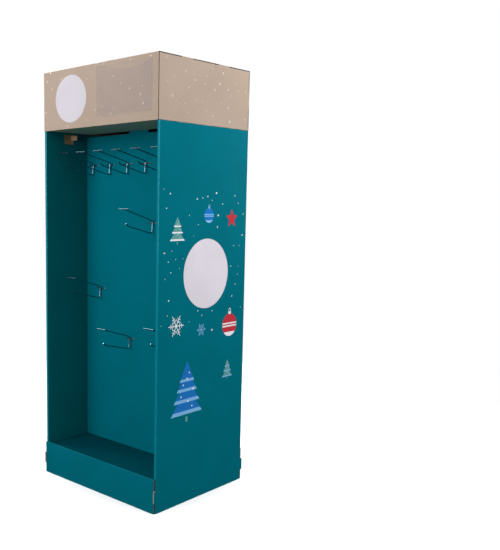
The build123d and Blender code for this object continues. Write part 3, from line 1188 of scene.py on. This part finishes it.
# %% Draw a fir tree
def fir_tree(name, width, height, ink, snow, tiers=4):
    """Tiers of triangles over a short trunk, each with a band of snow along its foot."""
    trunk = figure(4, 0.05 * width, (0, -0.46 * height), (1, 1.6), pi / 4, 0, sage_ink)
    shapes = [trunk]
    for tier in range(tiers):
        share = tier / tiers
        tier_width = width * (1 - 0.72 * share)
        tier_height = 0.44 * height * (1 - 0.35 * share)
        foot = height * (-0.38 + 0.80 * share * (1 - 0.18 * share))
        middle = foot + tier_height / 3
        stretch = (tier_width / 3 ** 0.5, tier_height / 1.5)
        body = figure(3, 1, (0, middle), stretch, 0, 2 * tier + 1, ink)
        band = figure(3, 1, (0, middle), stretch, 0, 2 * tier + 2, snow)
        cut_figure(band, foot + 0.13 * tier_height)
        shapes += [body, band]
    for turn in range(7):
        swing = 0.30 * width * (1 - 0.11 * turn)
        light_place = (swing * sin(2.4 * turn + 0.6), height * (-0.27 + 0.09 * turn))
        radius = 0.018 * width * (1.3 if turn % 2 else 1)
        shapes.append(figure(14, radius, light_place, level=2 * tiers + 1, ink=white_ink))
    return motif(name, shapes)


# %% [markdown]
# A star is a ten-sided figure with every second corner drawn in. A bauble is a disc with slices
# of the same disc on higher levels, and its ring is a disc whose middle is inset and deleted.

# %% Draw a star and a bauble
def star(name, radius, ink):
    """A five-pointed star: every second corner of a ten-sided figure is drawn in."""
    shape = figure(10, radius, ink=ink)
    for number, point in enumerate(shape.data.vertices):
        if number % 2:
            point.co.x *= 0.45
            point.co.y *= 0.45
    return motif(name, [shape])


def bauble(name, radius, ink, band_ink):
    """A glass ball with a striped band, a foot, a cap and a ring to hang it by."""
    shapes = [figure(56, radius, ink=ink)]
    band = (-0.16, 0.20, 1, band_ink)
    stripe = (-0.03, 0.07, 2, ink)
    foot = (-1.0, -0.62, 1, band_ink)
    for low, high, level, slice_ink in (band, stripe, foot):
        part = figure(56, radius, level=level, ink=slice_ink)
        if low > -1:
            cut_figure(part, low * radius, keep_upper=True)
        cut_figure(part, high * radius)
        shapes.append(part)
    cap = figure(4, 0.26 * radius, (0, 1.08 * radius), (1, 0.75), pi / 4, 3, band_ink)
    ring = figure(20, 0.16 * radius, (0, 1.32 * radius), level=3, ink=band_ink)
    choose_objects(ring)
    start_edit()
    bpy.ops.mesh.inset(thickness=0.06 * radius)
    bpy.ops.mesh.delete(type="FACE")
    end_edit()
    return motif(name, [*shapes, cap, ring])


# %% [markdown]
# A snow crystal has one arm that is worth drawing. It is spun round the middle, and a small
# hexagon covers the place where the arms meet.

# %% Draw a snow crystal
def snow_crystal(name, radius, ink):
    """Six arms with side branches and a small hexagon over their middle."""
    half_square = 0.5 * radius * 2 ** 0.5
    arm_width = 0.075
    branch_width = 0.060
    arm = figure(4, half_square, (0.53 * radius, 0), (1, arm_width), pi / 4, 0, ink)
    shapes = [arm]
    for reach, length in ((0.38, 0.34), (0.64, 0.24)):
        for side in (-1, 1):
            narrow = branch_width / length
            branch = figure(4, length * half_square, (0, 0), (1, narrow), pi / 4, 1, ink)
            choose_objects(branch)
            start_edit()
            bpy.ops.transform.translate(value=(0.5 * length * radius, 0, 0))
            turn = -side * pi / 3
            bpy.ops.transform.rotate(value=turn, orient_axis="Z", center_override=(0, 0, 0))
            bpy.ops.transform.translate(value=(reach * radius, 0, 0))
            end_edit()
            shapes.append(branch)
    join(*shapes)
    start_edit()
    bpy.ops.mesh.spin(steps=5, dupli=True, angle=radians(300), center=(0, 0, 0), axis=(0, 0, 1))
    end_edit()
    heart = figure(6, 0.16 * radius, level=2, ink=ink)
    return motif(name, [arm, heart])


# %% [markdown]
# Snow is a scatter of small dots. Dots that fell on a motif would look wrong, so each draw that
# lands too near to another shape is dropped. The draw starts from a fixed seed, which gives the
# same snow each time.

# %% Draw the snow on the walls
snow_area = (-232 * mm, 232 * mm, 590 * mm, 1165 * mm)
snow_count = 42
snow_clearance = 12 * mm
snow_seed = 7
snow_radii = (1.4, 1.8, 2.2, 2.8, 3.6)


def snow_scatter(name, keep_clear):
    """Round dots of a few sizes, scattered by a seeded draw and kept clear of other shapes."""
    draw = random.Random(snow_seed)
    left, right_end, foot, top = snow_area
    placed = []
    shapes = []
    while len(placed) < snow_count:
        across = draw.uniform(left, right_end)
        height = draw.uniform(foot, top)
        radius = draw.choice(snow_radii) * mm
        taken = keep_clear + placed
        gaps = [((across - x) ** 2 + (height - z) ** 2) ** 0.5 - r for x, z, r in taken]
        if min(gaps) > snow_clearance:
            placed.append((across, height, radius + snow_clearance))
            shapes.append(figure(16, radius, (across, height), ink=white_ink))
    return motif(name, shapes)


# %% [markdown]
# The motifs are spread over the wall so that the large tree stands low and the small ones
# surround the pale field. Both walls carry the same print, turned half round the stand.

# %% Print the walls
disc_place = (12 * mm, 846 * mm)
disc_radius = 128 * mm
# Each entry: the motif, its place on the wall, and how far around it the snow keeps away.
wall_shapes = [
    (motif("wall_field", [figure(128, disc_radius, ink=wall_disc_print)]), disc_place, disc_radius),
    (fir_tree("blue_tree", 175 * mm, 235 * mm, blue_ink, ice_ink), (-88 * mm, 425 * mm), 130 * mm),
    (
        fir_tree("sage_tree", 78 * mm, 104 * mm, sage_ink, white_ink, tiers=3),
        (-152 * mm, 1010 * mm), 60 * mm,
    ),
    (
        fir_tree("small_tree", 62 * mm, 84 * mm, sage_ink, ice_ink, tiers=3),
        (150 * mm, 470 * mm), 50 * mm,
    ),
    (star("red_star", 36 * mm, red_ink), (158 * mm, 1046 * mm), 40 * mm),
    (bauble("red_bauble", 44 * mm, red_ink, white_ink), (158 * mm, 640 * mm), 62 * mm),
    (bauble("blue_bauble", 27 * mm, blue_ink, ice_ink), (22 * mm, 1058 * mm), 40 * mm),
    (snow_crystal("white_crystal", 40 * mm, white_ink), (-152 * mm, 668 * mm), 44 * mm),
    (snow_crystal("pale_crystal", 25 * mm, ice_ink), (-12 * mm, 640 * mm), 30 * mm),
]
for word in ("right", "left"):
    for shape, (across, height), _ in wall_shapes:
        set_on(shape, f"{shape.name}_{word}", word, across, height, "teal_board")
occupied = [(across, height, reach) for _, (across, height), reach in wall_shapes]
scatter = snow_scatter("snow_dots", occupied)
for word in ("right", "left"):
    set_on(scatter, f"snow_dots_{word}", word, 0, 0, "teal_board")
print("printed shapes on each wall:", len(wall_shapes) + 1, "with", snow_count, "dots of snow")
clear_away(scatter, *(shape for shape, _, _ in wall_shapes))

# %% [markdown]
# Each long side of the header has one round field, to the left of its pocket.

# %% Print the header
header_disc_place = (-145 * mm, 1488 * mm)
header_disc_radius = 87 * mm
header_field = motif("header_field", [figure(112, header_disc_radius, ink=header_disc_print)])
for word in ("front", "rear"):
    set_on(header_field, f"header_field_{word}", word, *header_disc_place, "kraft_board")
print("field on the header:", round(2 * header_disc_radius / mm), "mm across")
clear_away(header_field)

# %% [markdown]
# ## Hooks
#
# The hooks are welded from zinc-plated wire. Zinc isn't a mirror: its polish has faint clouds. Its
# colour is darker and bluer than that of bare metal: a painted reflection of the teal bay around
# it.

# %% Zinc-plated wire
# Dark and blue: a painted reflection of the teal bay.
dull_zinc_painted_reflection = (0.11, 0.19, 0.25, 1)
bright_zinc_painted_reflection = (0.20, 0.32, 0.40, 1)
cloud_size = 9 * mm


def zinc_plate(name):
    """Zinc with faint clouds in its polish, darkened and tinted blue as a painted reflection of the
    teal bay.
    """
    material, tree, shader, place = new_finish(name)
    clouds = noise(tree, place, cloud_size, 3.0)
    feed_all(tree, shader, {
        "Base Color": blend(tree, clouds, dull_zinc_painted_reflection, bright_zinc_painted_reflection),
        "Roughness": map_range(tree, clouds, 0.3, 0.7, 0.20, 0.34),
        "Metallic": 1.0,
    })
    return material


zinc = zinc_plate("zinc_wire_finish")
print("wire finish:", zinc.name)

# %% [markdown]
# A hook is bent from straight wire, and so is its model: a point is extruded from corner to
# corner, the corners are rounded by a vertex bevel, and the line becomes a curve that carries
# the wire's round section. A chain of cylinders could do it too, but it would show its joints.

# %% Bend a wire
wire = 4.5 * mm
bead_radius = 0.6 * wire
bead_shape = (1.3, 0.85, 0.8)


def bent_wire(corners, bend=0.0):
    """A round wire along corners, with bends of a given size between its straight runs."""
    bpy.ops.object.select_all(action="DESELECT")
    bpy.ops.mesh.primitive_plane_add(size=wire, location=corners[0])
    apply_transform()
    line = bpy.context.object
    shrink_to_point()
    for start, stop in zip(corners, corners[1:]):
        extrude_by(stop - start)
    end_edit()
    last = len(corners) - 1
    for index, vertex in enumerate(line.data.vertices):
        vertex.select = 0 < index < last
    if bend:
        bpy.ops.object.mode_set(mode="EDIT")
        bpy.ops.mesh.bevel(offset=bend, segments=5, affect="VERTICES")
        end_edit()
    bpy.ops.object.convert(target="CURVE")
    curve = bpy.context.object.data
    curve.bevel_depth = wire / 2
    curve.bevel_resolution = 4
    curve.use_fill_caps = True
    bpy.ops.object.convert(target="MESH")
    return bpy.context.object


def weld_bead(place):
    """A small flattened bead of metal over a weld."""
    bpy.ops.mesh.primitive_uv_sphere_add(
        segments=14, ring_count=8, radius=bead_radius, location=place,
    )
    bead = bpy.context.object
    bead.scale = bead_shape
    apply_transform()
    return bead


# %% [markdown]
# A hook has a long stem with an upper arm for the price tag and a lower one for the goods, and
# a cross bar whose two prongs reach through the panel. Small beads mark the welds.

# %% Build one hook
peg_spacing = 51 * mm
bar_out = 2.55 * mm
stem_out = 6.65 * mm
prong_in = 5.55 * mm
prong_rise = 14 * mm
shoulder_rise = 8 * mm
drop = 40 * mm
lean = 4 * mm
arm_reach = 160 * mm
goods_reach = 138 * mm
goods_rise = 29 * mm
tip_reach = 12 * mm
tip_rise = 10 * mm
tag_bar = 50 * mm
weld_sink = 0.4 * mm
stem_bend = 7 * mm
prong_bend = 3.6 * mm


def hook_point(across, out, rise):
    """A point of a hook that hangs at the origin, on a panel that faces the front."""
    return Vector((across, -out, rise))


def make_hook(arm_rise):
    """Stem, cross bar and bar for the price tag, with the beads of their welds."""
    tip = hook_point(0, arm_reach, arm_rise)
    shoulder = hook_point(0, stem_out - lean * shoulder_rise / drop, shoulder_rise)
    stem = bent_wire([
        tip,
        shoulder,
        hook_point(0, stem_out + lean, -drop),
        hook_point(0, goods_reach, goods_rise - drop),
        hook_point(0, goods_reach + tip_reach, goods_rise + tip_rise - drop),
    ], stem_bend)
    half = peg_spacing / 2
    bar = bent_wire([
        hook_point(-half, -prong_in, prong_rise),
        hook_point(-half, -prong_in, 0),
        hook_point(-half, bar_out, 0),
        hook_point(half, bar_out, 0),
        hook_point(half, -prong_in, 0),
        hook_point(half, -prong_in, prong_rise),
    ], prong_bend)
    arm = (tip - shoulder).normalized()
    tag_middle = tip + arm * (wire / 2 - weld_sink)
    sideways = Vector((tag_bar / 2, 0, 0))
    tag = bent_wire([tag_middle - sideways, tag_middle + sideways])
    bar_bead = weld_bead(hook_point(0, (bar_out + stem_out) / 2, 0))
    tag_bead = weld_bead(tip - arm * wire * 0.3)
    hook = join(stem, bar, tag, bar_bead, tag_bead)
    hook.data.materials.clear()
    hook.data.materials.append(zinc)
    smooth(hook, 40)
    print("hook with a rise of", round(arm_rise / mm), "mm has", len(hook.data.polygons), "faces")
    return hook


# %% [markdown]
# The hooks differ only in how far their upper arm rises, so one of each kind is made, and every
# place on the panels gets a copy. A hook's place follows from the box of its CAD node: the
# cross bar lies a fixed way above the foot of the box, and the arm ends just below its top.

# %% Hang the hooks
below_bar = 42.76 * mm
above_arm = 2.85 * mm
kinds = {}
hook_nodes = sorted(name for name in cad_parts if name.startswith("hook_"))
for node in hook_nodes:
    low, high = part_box(node)
    height = low.z + below_bar
    arm_rise = round((high.z - above_arm - height) / mm) * mm
    if arm_rise not in kinds:
        kinds[arm_rise] = make_hook(arm_rise)
    hook = add_object(f"wire_{node}", kinds[arm_rise].data.copy())
    is_front = low.y < 0
    place = Vector(((low.x + high.x) / 2, -panel_face if is_front else panel_face, height))
    half_turn = Matrix.Rotation(0 if is_front else pi, 4, "Z")
    hook.data.transform(Matrix.Translation(place) @ half_turn)
    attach(hook, "root")
    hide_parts(node)
clear_away(*kinds.values())
print("hooks:", len(hook_nodes), "of", len(kinds), "kinds")
